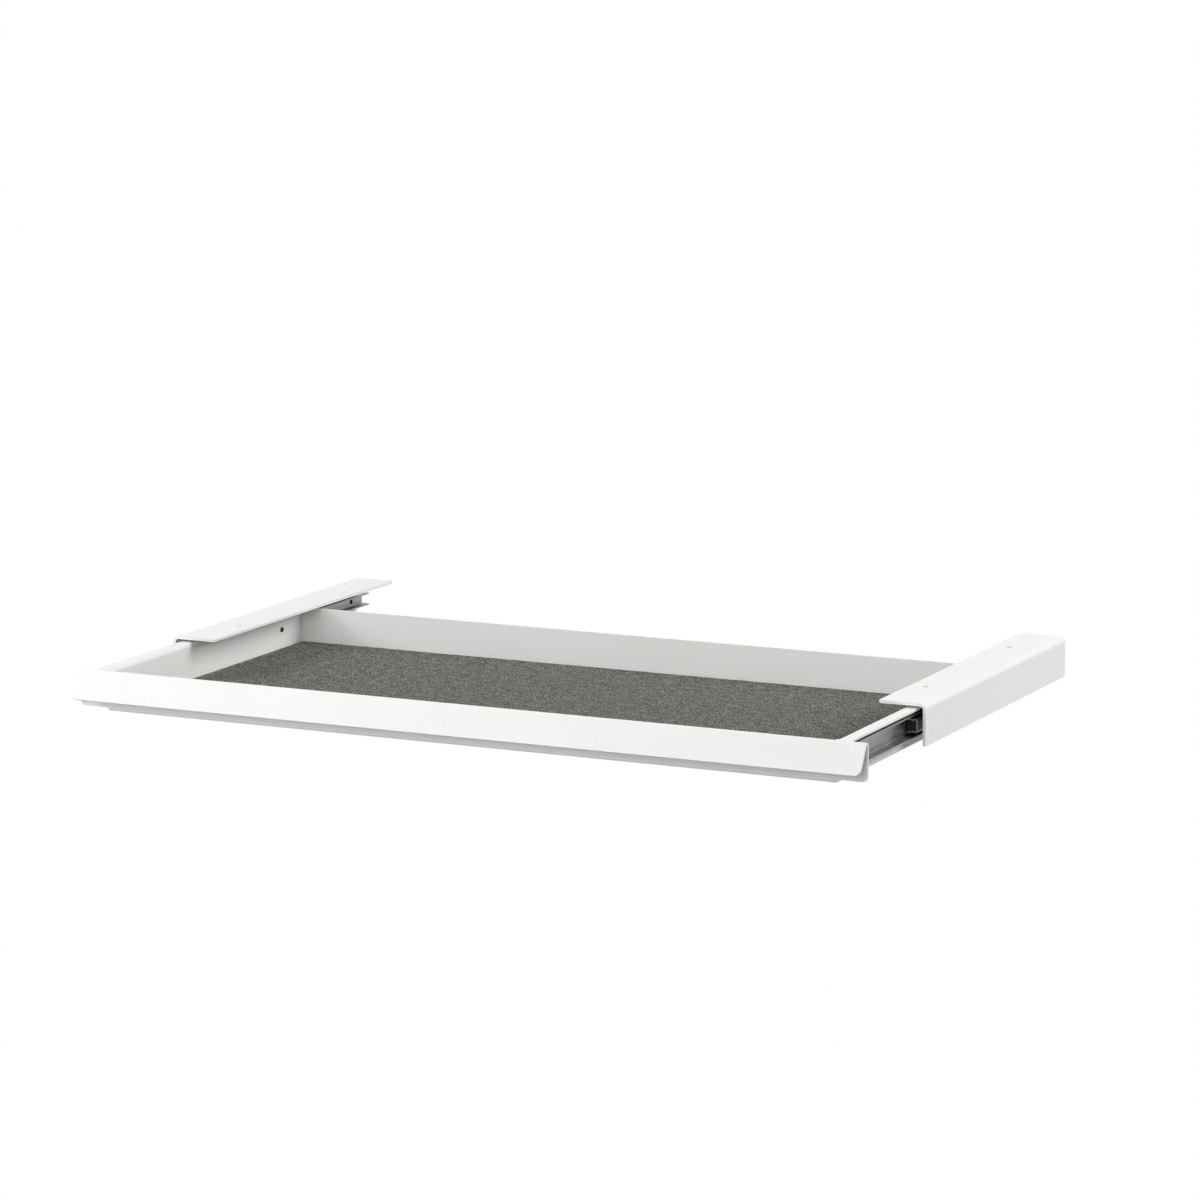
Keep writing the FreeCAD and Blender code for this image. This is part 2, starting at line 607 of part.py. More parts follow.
# Felt mat on the tray's floor
felt = new_body("felt_mat")
profile = outline(
    felt, "felt_outline", "XY_Plane", "floor_top",
    rectangle("-felt_side", "felt_side", "felt_front", "felt_back"),
)
pad(felt, "felt_pad", profile, "felt_thickness")
round_edges(felt, "felt_corners", "felt_corner", lambda m, d: along(d, "z"))
nodes.append(felt)

# Drawer rails: the larger channel, open outwards, screwed to the tray's side wall.
# Catches punched in at the back end keep the cage in.
for hand, side in SIDES.items():
    rail = new_body(f"{hand}_drawer_rail")
    channel = [
        ("drawer_lip", "drawer_flange_inner"),
        ("drawer_lip", "drawer_flange_outer"),
        ("ball_line + race_hump", "drawer_flange_outer", "race_back", "left"),
        ("ball_line - race_hump", "drawer_flange_outer"),
        ("wall_outer + rail_outer_bend", "drawer_flange_outer", "rail_outer_bend", "left"),
        ("wall_outer", "drawer_flange_outer - rail_outer_bend"),
        ("wall_outer", "rail_outer_bend - drawer_flange_outer", "rail_outer_bend", "left"),
        ("wall_outer + rail_outer_bend", "-drawer_flange_outer"),
        ("ball_line - race_hump", "-drawer_flange_outer", "race_back", "left"),
        ("ball_line + race_hump", "-drawer_flange_outer"),
        ("drawer_lip", "-drawer_flange_outer"),
        ("drawer_lip", "-drawer_flange_inner"),
        ("ball_line + race_mouth", "-drawer_flange_inner", "race_radius", "right"),
        ("ball_line - race_mouth", "-drawer_flange_inner"),
        ("drawer_web + rail_bend", "-drawer_flange_inner", "rail_bend", "right"),
        ("drawer_web", "rail_bend - drawer_flange_inner"),
        ("drawer_web", "drawer_flange_inner - rail_bend", "rail_bend", "right"),
        ("drawer_web + rail_bend", "drawer_flange_inner"),
        ("ball_line - race_mouth", "drawer_flange_inner", "race_radius", "right"),
        ("ball_line + race_mouth", "drawer_flange_inner"),
    ]
    profile = outline(
        rail, f"{hand}_drawer_channel", "XZ_Plane", "drawer_rail_front", channel, side, "slide_level"
    )
    pad(rail, f"{hand}_drawer_channel_pad", profile, "slide_length", True)
    catch_foot = "ball_rise - race_radius + catch_clearance"
    for which, way in {"upper": 1, "lower": -1}.items():
        catch = rectangle(
            "ball_line - catch_width / 2", "ball_line + catch_width / 2",
            f"{way} * ({catch_foot})", f"{way} * (ball_rise + race_radius + rail_sheet / 2)",
        )
        profile = outline(
            rail, f"{hand}_{which}_catch", "XZ_Plane", "drawer_rail_back - catch_length",
            catch, side, "slide_level",
        )
        pad(rail, f"{hand}_{which}_catch_pad", profile, "catch_length", True)
    holes = circles(
        rail, f"{hand}_rail_holes", "YZ_Plane", f"{side} * wall_outer", rail_screw_places, "screw_hole"
    )
    pocket(rail, f"{hand}_rail_holes_cut", holes, "rail_sheet", side > 0)
    nodes.append(rail)

# Drawer rail screws: low dark heads inside the tray, ends flush in the rail's web
for hand, side in SIDES.items():
    screws = []
    for end, place in {"front": front_screw, "back": back_screw}.items():
        half = [
            (f"{side} * (wall_inner - screw_head_height)", "0"),
            (f"{side} * (drawer_web - rail_screw_short)", "0"),
            (f"{side} * (drawer_web - rail_screw_short)", "screw_diameter / 2"),
            (f"{side} * wall_inner", "screw_diameter / 2"),
            (f"{side} * wall_inner", "screw_head / 2"),
            (f"{side} * (wall_inner - screw_head_height)", "screw_head / 2"),
        ]
        screws.append(turned(f"{hand}_rail_screw_{end}", "XZ_Plane", place, "slide_level", half))
    nodes.append(group(f"{hand}_rail_screws", screws))

# Ball cages: thin channels between the rails, with a row of ball pockets above and below
for hand, side in SIDES.items():
    cage = new_body(f"{hand}_ball_cage")
    strip_low = "ball_rise - cage_sheet / 2"
    strip_high = "ball_rise + cage_sheet / 2"
    channel = [
        ("cage_strip_edge", strip_low),
        ("cage_strip_edge", strip_high),
        ("cage_web_outer", strip_high, "cage_sheet", "left"),
        ("cage_web_inner", strip_low),
        ("cage_web_inner", f"-({strip_low})", "cage_sheet", "left"),
        ("cage_web_outer", f"-({strip_high})"),
        ("cage_strip_edge", f"-({strip_high})"),
        ("cage_strip_edge", f"-({strip_low})"),
        ("cage_web_outer", f"-({strip_low})"),
        ("cage_web_outer", strip_low),
    ]
    profile = outline(
        cage, f"{hand}_cage_section", "XZ_Plane", "cage_middle - cage_length / 2",
        channel, side, "slide_level",
    )
    pad(cage, f"{hand}_cage_section_pad", profile, "cage_length", True)
    first_ball = "cage_middle - ball_pitch * (balls_per_row - 1) / 2"
    around = octagon(f"{side} * ball_line", first_ball, "ball_pocket")
    hole = outline(
        cage, f"{hand}_ball_pocket", "XY_Plane", "slide_level + slide_height / 2", around
    )
    cut = pocket(cage, f"{hand}_ball_pocket_cut", hole, "slide_height")
    row_of(cage, f"{hand}_ball_pockets", cut, hole, "V_Axis", "ball_pitch", "balls_per_row")
    nodes.append(cage)

    # Each ball is a many-sided bead, whose corners lie on the true ball
    balls = []
    for i in range(int(size("balls_per_row"))):
        for way in (1, -1):
            ball = new_body(f"{hand}_ball")
            place = f"({first_ball} + {i} * ball_pitch)"
            around = octagon(f"{side} * ball_line", f"{way} * ball_rise", "ball_flat")
            profile = outline(
                ball, f"{hand}_ball_around", "XZ_Plane", f"{place} - ball_flat",
                around, 1, "slide_level",
            )
            pad(ball, f"{hand}_ball_pad", profile, "2 * ball_flat", True)
            round_edges(
                ball, f"{hand}_ball_bevel", "ball_bevel",
                lambda m, d, p=place: not near(m.y, p, size("ball_flat") / 2),
                "Chamfer", "Size",
            )
            balls.append(ball)
    nodes.append(group(f"{hand}_balls", balls))

doc.recompute()

# Every object must be sound before anything is written
for thing in doc.Objects:
    if "Invalid" in thing.State or "Error" in thing.State:
        raise ValueError(f"{thing.Label} is {thing.State}")
for node in nodes:
    if node.Shape.isNull() or not node.Shape.isValid():
        raise ValueError(f"{node.Label} has no sound shape")

for node in nodes:
    box = node.Shape.BoundBox
    print(
        f"{node.Label}: {len(node.Shape.Solids)} solids, {node.Shape.Volume:.1f} mm3, "
        f"x {box.XMin:.2f} {box.XMax:.2f}, y {box.YMin:.2f} {box.YMax:.2f}, "
        f"z {box.ZMin:.2f} {box.ZMax:.2f}"
    )
    node.Shape.exportStep(f"parts/{node.Label}.step")
print(len(nodes), "nodes")
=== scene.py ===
# %% [markdown]
# # A desk drawer, dressed for a product picture
# The drawer is a shallow tray of white sheet metal. It hangs under a desk top from two angle
# brackets and rolls out on a pair of small ball-bearing slides. The engineering model already
# holds every part at its real size, so this lesson adds what paint, steel, felt and plastic
# look like, softens the edges that a press brake leaves, and sets up the studio.

# %% Load the drawer
import bmesh
import bpy
import json
import math
from mathutils import Matrix, Vector, noise


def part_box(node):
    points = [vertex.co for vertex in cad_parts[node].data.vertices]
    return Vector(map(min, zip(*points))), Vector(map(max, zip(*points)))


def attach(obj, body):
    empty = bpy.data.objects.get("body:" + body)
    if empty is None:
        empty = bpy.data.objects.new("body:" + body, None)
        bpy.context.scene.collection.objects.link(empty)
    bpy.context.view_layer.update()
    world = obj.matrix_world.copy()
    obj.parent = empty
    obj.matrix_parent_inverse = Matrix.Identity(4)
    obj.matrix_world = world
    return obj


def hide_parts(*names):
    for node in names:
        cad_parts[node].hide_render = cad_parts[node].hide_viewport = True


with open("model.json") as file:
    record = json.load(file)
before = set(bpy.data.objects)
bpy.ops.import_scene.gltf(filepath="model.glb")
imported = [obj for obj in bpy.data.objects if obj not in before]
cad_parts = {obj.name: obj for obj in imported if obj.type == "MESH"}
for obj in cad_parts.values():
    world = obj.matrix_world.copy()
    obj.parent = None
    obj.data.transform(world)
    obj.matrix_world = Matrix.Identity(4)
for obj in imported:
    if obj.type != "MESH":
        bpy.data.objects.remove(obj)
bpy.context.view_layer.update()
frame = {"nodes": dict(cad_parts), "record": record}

MM = 0.001
SIDES = ("left", "right")

# %% [markdown]
# The picture was taken with a long lens from the front right, a little above the drawer. A long
# lens keeps the far bracket nearly as large as the near one. The camera's turn is written as
# three angles in degrees, read from the brackets' edges. The lens and the sensor are in
# millimetres.

# %% Camera
CAMERA_PLACE = Vector((1.44217, -3.01226, 0.62697))
CAMERA_LENS = 137.56
SENSOR_WIDTH = 36
SIGHT_RANGE = 60
CAMERA_ROUND = 25.82
CAMERA_DOWN = 10.18
CAMERA_ROLL = -0.15


def aim(camera, place, turn_round, look_down, roll):
    """Stands a camera in its place, turns it about the upright axis, tips and rolls it."""
    turned = Matrix.Rotation(math.radians(turn_round), 4, "Z")
    tipped = Matrix.Rotation(math.radians(90 - look_down), 4, "X")
    rolled = Matrix.Rotation(math.radians(roll), 4, "Z")
    camera.matrix_world = Matrix.Translation(place) @ turned @ tipped @ rolled


camera_data = bpy.data.cameras.new("studio_camera")
camera_data.lens = CAMERA_LENS
camera_data.sensor_width = SENSOR_WIDTH
camera_data.clip_end = SIGHT_RANGE
camera = bpy.data.objects.new("studio_camera", camera_data)
bpy.context.collection.objects.link(camera)
aim(camera, CAMERA_PLACE, CAMERA_ROUND, CAMERA_DOWN, CAMERA_ROLL)
bpy.context.scene.camera = camera
print("camera at", tuple(round(v, 3) for v in CAMERA_PLACE))

# %% [markdown]
# A material is a small chain of nodes, and a few helpers keep the chains short. The first one
# starts a material. The next adds a noise that reads the piece's own coordinates in metres, so
# that its grain keeps its real size. The others map a noise onto a range of numbers or onto
# colours, turn it into bumps of a known height, reckon with two or three numbers, and lead the
# results into the material's main shader. A noise's detail says how many finer layers it has.

# %% Helpers for the finishes
LITTLE_DETAIL = 2.0
SOME_DETAIL = 3.0
MUCH_DETAIL = 4.0


def start_finish(name, colour, roughness, metallic=0.0):
    """A new material with its main shader's plain values set."""
    finish = bpy.data.materials.new(name)
    finish.use_nodes = True
    shader = finish.node_tree.nodes["Principled BSDF"]
    shader.inputs["Base Color"].default_value = (*colour, 1)
    shader.inputs["Roughness"].default_value = roughness
    shader.inputs["Metallic"].default_value = metallic
    finish.diffuse_color = (*colour, 1)
    return finish, finish.node_tree, shader


def grain(tree, size, detail, stretch=(1, 1, 1), turn=(0, 0, 0)):
    """Noise whose blotches are about the given size in metres, stretched along an axis."""
    place = tree.nodes.new("ShaderNodeTexCoord")
    mapping = tree.nodes.new("ShaderNodeMapping")
    mapping.inputs["Scale"].default_value = stretch
    mapping.inputs["Rotation"].default_value = turn
    noise_node = tree.nodes.new("ShaderNodeTexNoise")
    noise_node.inputs["Scale"].default_value = 1 / size
    noise_node.inputs["Detail"].default_value = detail
    tree.links.new(place.outputs["Object"], mapping.inputs["Vector"])
    tree.links.new(mapping.outputs["Vector"], noise_node.inputs["Vector"])
    return noise_node.outputs["Fac"]


def spread(tree, value, low, high, low_in=0.3, high_in=0.7):
    """Maps a noise onto a range of values."""
    node = tree.nodes.new("ShaderNodeMapRange")
    node.inputs["From Min"].default_value = low_in
    node.inputs["From Max"].default_value = high_in
    node.inputs["To Min"].default_value = low
    node.inputs["To Max"].default_value = high
    tree.links.new(value, node.inputs["Value"])
    return node.outputs["Result"]


def blend_colours(tree, value, stops):
    """Maps a noise onto colours. Each stop is (place, colour)."""
    ramp = tree.nodes.new("ShaderNodeValToRGB")
    elements = ramp.color_ramp.elements
    while len(elements) < len(stops):
        elements.new(0.5)
    for element, (place, colour) in zip(elements, stops):
        element.position = place
        element.color = (*colour, 1)
    tree.links.new(value, ramp.inputs["Fac"])
    return ramp.outputs["Color"]


def bumps(tree, value, height, strength, below=None):
    """Bumps of a height in metres, on top of other bumps where given."""
    node = tree.nodes.new("ShaderNodeBump")
    node.inputs["Strength"].default_value = strength
    node.inputs["Distance"].default_value = height
    tree.links.new(value, node.inputs["Height"])
    if below is not None:
        tree.links.new(below, node.inputs["Normal"])
    return node.outputs["Normal"]


def reckon(tree, operation, *values):
    """The result of a sum, a product or a comparison. A value is a number or a socket."""
    node = tree.nodes.new("ShaderNodeMath")
    node.operation = operation
    for socket, value in zip(node.inputs, values):
        if isinstance(value, float):
            socket.default_value = value
        else:
            tree.links.new(value, socket)
    return node.outputs[0]


def lead_in(tree, shader, colour, roughness, normal):
    """Leads a colour, a roughness and bumps into the main shader."""
    tree.links.new(colour, shader.inputs["Base Color"])
    tree.links.new(roughness, shader.inputs["Roughness"])
    tree.links.new(normal, shader.inputs["Normal"])


# %% [markdown]
# The sheet metal is powder-coated white. Baked powder is never quite smooth: it keeps a fine
# orange-peel skin about a millimetre across with a still finer grit on it, and its white drifts
# a little from place to place. Each comes from a noise of its own size in metres.

# %% White powder coat
COAT_WHITE = (0.905, 0.9, 0.885)
COAT_WARM = (0.885, 0.88, 0.862)
COAT_STOPS = [(0.3, COAT_WARM), (0.7, COAT_WHITE)]
COAT_ROUGHNESS = 0.42
COAT_ROUGHNESS_RANGE = (0.38, 0.5)
COAT_SHINE = 0.45
COAT_CLOUD_SIZE = 0.06
PEEL_SIZE = 0.0011
PEEL_HEIGHT = 0.00004
PEEL_STRENGTH = 0.6
GRIT_SIZE = 0.00035
GRIT_HEIGHT = 0.000012
GRIT_STRENGTH = 0.5


def powder_coat():
    finish, tree, shader = start_finish("white_powder_coat", COAT_WHITE, COAT_ROUGHNESS)
    cloud = grain(tree, COAT_CLOUD_SIZE, LITTLE_DETAIL)
    peel = grain(tree, PEEL_SIZE, LITTLE_DETAIL)
    grit = grain(tree, GRIT_SIZE, SOME_DETAIL)
    colour = blend_colours(tree, cloud, COAT_STOPS)
    roughness = spread(tree, peel, *COAT_ROUGHNESS_RANGE)
    skin = bumps(tree, peel, PEEL_HEIGHT, PEEL_STRENGTH)
    skin = bumps(tree, grit, GRIT_HEIGHT, GRIT_STRENGTH, skin)
    lead_in(tree, shader, colour, roughness, skin)
    shader.inputs["Specular IOR Level"].default_value = COAT_SHINE
    return finish


white_coat = powder_coat()
print("finish", white_coat.name)

# %% [markdown]
# The rails are rolled from zinc-plated strip, so their scratches and drawing marks run along
# the slide. Stretching a fine noise some eighty times along the slide's axis gives such lines,
# and the plating's faint clouds come from a broad noise. The balls are polished, with a little
# wear.

# %% Zinc-plated steel
RAIL_LIGHT = (0.34, 0.34, 0.335)
RAIL_DARK = (0.23, 0.23, 0.225)
RAIL_ROUGHNESS = 0.36
CAGE_LIGHT = (0.46, 0.455, 0.43)
CAGE_DARK = (0.34, 0.335, 0.31)
CAGE_ROUGHNESS = 0.3
LINE_SIZE = 0.0004
LINE_STRETCH = (1, 0.012, 1)
LINE_DEPTH = 0.00002
LINE_STRENGTH = 0.5
DARK_UP_TO = 0.35
LIGHT_FROM = 0.65
STEEL_CLOUD_SIZE = 0.012
SMOOTHER = 0.07
ROUGHER = 0.1
BALL_COLOUR = (0.8, 0.8, 0.82)
BALL_ROUGHNESS = 0.12
BALL_ROUGHNESS_RANGE = (0.08, 0.2)
BALL_WEAR_SIZE = 0.0006


def drawn_steel(name, light, dark, roughness):
    finish, tree, shader = start_finish(name, light, roughness, 1.0)
    lines = grain(tree, LINE_SIZE, MUCH_DETAIL, LINE_STRETCH)
    cloud = grain(tree, STEEL_CLOUD_SIZE, SOME_DETAIL)
    colour = blend_colours(tree, lines, [(DARK_UP_TO, dark), (LIGHT_FROM, light)])
    gloss = spread(tree, cloud, roughness - SMOOTHER, roughness + ROUGHER)
    lead_in(tree, shader, colour, gloss, bumps(tree, lines, LINE_DEPTH, LINE_STRENGTH))
    return finish


def polished_steel():
    finish, tree, shader = start_finish("ball_steel", BALL_COLOUR, BALL_ROUGHNESS, 1.0)
    wear = spread(tree, grain(tree, BALL_WEAR_SIZE, SOME_DETAIL), *BALL_ROUGHNESS_RANGE)
    tree.links.new(wear, shader.inputs["Roughness"])
    return finish


rail_steel = drawn_steel("rail_steel", RAIL_LIGHT, RAIL_DARK, RAIL_ROUGHNESS)
cage_steel = drawn_steel("cage_steel", CAGE_LIGHT, CAGE_DARK, CAGE_ROUGHNESS)
ball_steel = polished_steel()
print("finishes", rail_steel.name, cage_steel.name, ball_steel.name)

# %% [markdown]
# The stops are moulded in black plastic with a dull spark-eroded grain. Their near-black is
# also painted shade: it stands in for the deep shadow inside the front ends of the rails. The
# screws are steel with a black oxide skin, which is smooth and a little oily.

# %% Black plastic, partly painted shade, and black screws
# Painted shade: the stops' near-black also stands for the shadow inside the rails' front ends.
PLASTIC_AND_SHADE_MIDDLE = (0.01, 0.01, 0.0105)
PLASTIC_AND_SHADE_DARK = (0.006, 0.006, 0.0065)
PLASTIC_AND_SHADE_LIGHT = (0.014, 0.014, 0.0145)
PLASTIC_AND_SHADE_STOPS = [(0.3, PLASTIC_AND_SHADE_DARK), (0.7, PLASTIC_AND_SHADE_LIGHT)]
PLASTIC_ROUGHNESS = 0.6
PLASTIC_ROUGHNESS_RANGE = (0.52, 0.7)
PLASTIC_SHINE = 0.3
PIT_SIZE = 0.0003
PIT_DEPTH = 0.00003
PIT_STRENGTH = 0.6
OXIDE_MIDDLE = (0.035, 0.034, 0.034)
OXIDE_DARK = (0.022, 0.021, 0.021)
OXIDE_LIGHT = (0.06, 0.058, 0.055)
OXIDE_STOPS = [(0.3, OXIDE_DARK), (0.75, OXIDE_LIGHT)]
OXIDE_ROUGHNESS = 0.35
OXIDE_ROUGHNESS_RANGE = (0.28, 0.45)
OXIDE_METALLIC = 0.6
OXIDE_CLOUD_SIZE = 0.0008
OXIDE_HEIGHT = 0.00001
OXIDE_STRENGTH = 0.4


def moulded_black_and_painted_shade():
    finish, tree, shader = start_finish("black_plastic", PLASTIC_AND_SHADE_MIDDLE, PLASTIC_ROUGHNESS)
    pits = grain(tree, PIT_SIZE, LITTLE_DETAIL)
    colour = blend_colours(tree, pits, PLASTIC_AND_SHADE_STOPS)
    roughness = spread(tree, pits, *PLASTIC_ROUGHNESS_RANGE)
    lead_in(tree, shader, colour, roughness, bumps(tree, pits, PIT_DEPTH, PIT_STRENGTH))
    shader.inputs["Specular IOR Level"].default_value = PLASTIC_SHINE
    return finish


def black_oxide():
    finish, tree, shader = start_finish(
        "black_screws", OXIDE_MIDDLE, OXIDE_ROUGHNESS, OXIDE_METALLIC
    )
    cloud = grain(tree, OXIDE_CLOUD_SIZE, SOME_DETAIL)
    colour = blend_colours(tree, cloud, OXIDE_STOPS)
    roughness = spread(tree, cloud, *OXIDE_ROUGHNESS_RANGE)
    lead_in(tree, shader, colour, roughness, bumps(tree, cloud, OXIDE_HEIGHT, OXIDE_STRENGTH))
    return finish


black_plastic = moulded_black_and_painted_shade()
black_screws = black_oxide()
print("finishes", black_plastic.name, black_screws.name)

# %% [markdown]
# Needled felt is a tangle of light and dark fibres. Two fine noises stretched in different
# directions cross like the fibres do, a broader one gives the clouds where the wool lies
# thicker, and a little sheen adds the pale rim that loose fibre ends catch. The fibres' turns
# are in radians.

# %% Grey felt
FELT_DARK = (0.022, 0.022, 0.0185)
FELT_MIDDLE = (0.09, 0.09, 0.078)
FELT_LIGHT = (0.26, 0.256, 0.228)
FELT_STOPS = [(0.2, FELT_DARK), (0.5, FELT_MIDDLE), (0.85, FELT_LIGHT)]
FELT_ROUGHNESS = 0.95
FELT_ROUGHNESS_RANGE = (0.88, 1.0)
FELT_SHINE = 0.1
FELT_SHEEN = 0.1
FELT_SHEEN_ROUGHNESS = 0.6
FIBRE_SIZE = 0.00095
FIBRE_STRETCH = (1, 0.45, 1)
FIBRE_TURNS = (0.9, -0.7)
FIBRE_HEIGHT = 0.0004
FIBRE_STRENGTH = 0.8
TUFT_SIZE = 0.005
TUFT_STRETCH = (0.6, 1, 1)
TUFT_SHARE = 0.4
FELT_THINNEST = 1.0
FELT_THICKEST = 1.42


def needled_felt():
    finish, tree, shader = start_finish("grey_felt", FELT_MIDDLE, FELT_ROUGHNESS)
    first, second = (
        grain(tree, FIBRE_SIZE, SOME_DETAIL, FIBRE_STRETCH, (0, 0, turn)) for turn in FIBRE_TURNS
    )
    tufts = grain(tree, TUFT_SIZE, SOME_DETAIL, TUFT_STRETCH)
    crossed = reckon(tree, "ADD", first, second)
    wool = reckon(tree, "MULTIPLY_ADD", tufts, TUFT_SHARE, crossed)
    fibres = spread(tree, wool, 0.0, 1.0, FELT_THINNEST, FELT_THICKEST)
    colour = blend_colours(tree, fibres, FELT_STOPS)
    roughness = spread(tree, fibres, *FELT_ROUGHNESS_RANGE, 0, 1)
    lead_in(tree, shader, colour, roughness, bumps(tree, fibres, FIBRE_HEIGHT, FIBRE_STRENGTH))
    shader.inputs["Sheen Weight"].default_value = FELT_SHEEN
    shader.inputs["Sheen Roughness"].default_value = FELT_SHEEN_ROUGHNESS
    shader.inputs["Specular IOR Level"].default_value = FELT_SHINE
    return finish


grey_felt = needled_felt()
print("finish", grey_felt.name)

# %% [markdown]
# Every part of the engineering model gets its finish first. Some are then replaced by a more
# detailed piece, and the rest stay as they are.

# %% Give every part its finish
FINISHES = {
    "white_powder_coat": white_coat,
    "rail_steel": rail_steel,
    "cage_steel": cage_steel,
    "ball_steel": ball_steel,
    "black_plastic": black_plastic,
    "black_screws": black_screws,
    "grey_felt": grey_felt,
}
slot_of = {part["node"]: part["material_slot"] for part in frame["record"]["subparts"]}


def paint(thing, finish):
    thing.data.materials.clear()
    thing.data.materials.append(finish)


def part_object(node):
    return frame["nodes"][node]


for node, slot in slot_of.items():
    paint(part_object(node), FINISHES[slot])
print(len(slot_of), "parts painted")

# %% [markdown]
# Every new piece is made in the same few steps: its form becomes a mesh, the mesh gets smooth
# shading with crisp edges, and the object takes the place of a part, on the same body and with
# the same material slot.

# %% Helpers for the pieces


def body_of(node):
    """The name of the moving body that a part belongs to."""
    for body, members in frame["record"]["behaviour"]["bodies"].items():
        if node in members:
            return body


def mesh_from(name, form):
    """Turns a form that is still being shaped into a finished mesh."""
    mesh = bpy.data.meshes.new(name)
    form.to_mesh(mesh)
    form.free()
    return mesh


def shade(mesh, crisp=None):
    """Smooth shading, with edges that turn by more than `crisp` degrees kept crisp."""
    for face in mesh.polygons:
        face.use_smooth = True
    if crisp is not None:
        mesh.set_sharp_from_angle(angle=math.radians(crisp))


def add_object(name, mesh, finish):
    piece = bpy.data.objects.new(name, mesh)
    bpy.context.collection.objects.link(piece)
    paint(piece, finish)
    return piece


def stand_in(piece, node):
    """Lets a piece take a part's place."""
    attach(piece, body_of(node))
    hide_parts(node)
    return piece


print("the tray rides on", body_of("tray"))

# %% [markdown]
# Folded sheet metal has no knife edges: shearing and the powder leave every edge slightly
# round, and the moulded stops have no knife edges either. A copy of each part is welded into
# one skin, its flat faces are joined up, and a bevel modifier rounds the sharp edges by 0.12 to
# 0.4 millimetres. The copy then stands for the part it came from. Radii are in metres here and
# angles in degrees.

# %% Soften the edges of the metal parts and the stops
EDGE_RADII = {
    "bracket": 0.0004,
    "cabinet_rail": 0.00012,
    "drawer_rail": 0.00012,
    "front_stop": 0.00025,
}
TRAY_EDGE_RADIUS = 0.0003
PANEL_EDGE_RADIUS = 0.0004
EDGE_SEGMENTS = 2
WELD = 1e-6
FLAT_WITHIN = 0.5
CRISP_FROM = 35
ROUND_FROM = 40


def softened(node, radius):
    """A copy of a part with rounded edges, which replaces the part."""
    skin = bmesh.new()
    skin.from_mesh(part_object(node).data)
    bmesh.ops.remove_doubles(skin, verts=skin.verts, dist=WELD)
    bmesh.ops.dissolve_limit(
        skin, angle_limit=math.radians(FLAT_WITHIN), verts=skin.verts, edges=skin.edges
    )
    mesh = mesh_from(node + "_soft", skin)
    shade(mesh, CRISP_FROM)
    piece = add_object(node + "_soft", mesh, FINISHES[slot_of[node]])
    rounding = piece.modifiers.new("rounded_edges", "BEVEL")
    rounding.width = radius
    rounding.segments = EDGE_SEGMENTS
    rounding.limit_method = "ANGLE"
    rounding.angle_limit = math.radians(ROUND_FROM)
    rounding.harden_normals = True
    return stand_in(piece, node)


for side in SIDES:
    for part, radius in EDGE_RADII.items():
        softened(f"{side}_{part}", radius)
softened("tray", TRAY_EDGE_RADIUS)
softened("front_panel", PANEL_EDGE_RADIUS)
print("softened the brackets, rails, stops, tray and front panel")

# %% [markdown]
# The felt mat is cut from a roll and laid in the tray. Its top is a fine grid of points, moved
# up and down by a little noise. Its cut edge is rolled over and its corners are rounded.

# %% Felt mat
FELT_STEP = 0.0025
FELT_ROLL = 0.0008
FELT_WAVE = 0.00018
FELT_WAVES_PER_METRE = 180
FELT_CORNER = 0.002
FELT_CRISP = 50


def round_corner(spot, low, high):
    """Pulls a point near a corner of the mat in to the corner's arc."""
    centre = Vector((
        min(max(spot.x, low.x + FELT_CORNER), high.x - FELT_CORNER),
        min(max(spot.y, low.y + FELT_CORNER), high.y - FELT_CORNER),
        spot.z,
    ))
    out = spot - centre
    if out.length > FELT_CORNER:
        spot.xyz = centre + out.normalized() * FELT_CORNER


def felt_top(low, high):
    """The mat's upper face, as a form."""
    size = high - low
    middle = (low + high) / 2
    cloth = bmesh.new()
    bmesh.ops.create_grid(
        cloth, x_segments=round(size.x / FELT_STEP), y_segments=round(size.y / FELT_STEP), size=0.5
    )
    bmesh.ops.scale(cloth, vec=(size.x, size.y, 1), verts=cloth.verts)
    bmesh.ops.translate(cloth, vec=(middle.x, middle.y, high.z - FELT_WAVE), verts=cloth.verts)
    roll_reach = FELT_ROLL * 2
    for vert in cloth.verts:
        spot = vert.co
        inset = min(spot.x - low.x, high.x - spot.x, spot.y - low.y, high.y - spot.y)
        if inset < roll_reach:
            spot.z -= FELT_ROLL * (1 - inset / roll_reach) ** 2
        spot.z += FELT_WAVE * noise.noise(spot * FELT_WAVES_PER_METRE)
        round_corner(spot, low, high)
    return cloth


def felt_sheet():
    low, high = (Vector(corner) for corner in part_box("felt_mat"))
    cloth = felt_top(low, high)
    rim = [edge for edge in cloth.edges if edge.is_boundary]
    down = bmesh.ops.extrude_edge_only(cloth, edges=rim)["geom"]
    for vert in down:
        if isinstance(vert, bmesh.types.BMVert):
            vert.co.z = low.z
    bmesh.ops.contextual_create(cloth, geom=[e for e in cloth.edges if e.is_boundary])
    bmesh.ops.recalc_face_normals(cloth, faces=cloth.faces)
    mesh = mesh_from("felt_sheet", cloth)
    shade(mesh, FELT_CRISP)
    piece = add_object("felt_sheet", mesh, grey_felt)
    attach(piece, "drawer")
    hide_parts("felt_mat")
    return piece


felt = felt_sheet()
print("felt mat", len(felt.data.vertices), "points")

# %% [markdown]
# Screws and rivets are round, so the half outline of one is drawn as a few points and spun
# about its own axis. It is made at the middle of the world, with its head looking towards -X,
# and is then copied to its places. The outlines of the heads are written as shares of their
# height and radius.

# %% Spin a round piece
SPIN_STEPS = 40
SEAM = 1e-7


def scaled(outline, height, radius, start=0):
    """The points of an outline of shares, in metres, from a start along the axis."""
    return [(start + along * height, out * radius) for along, out in outline]


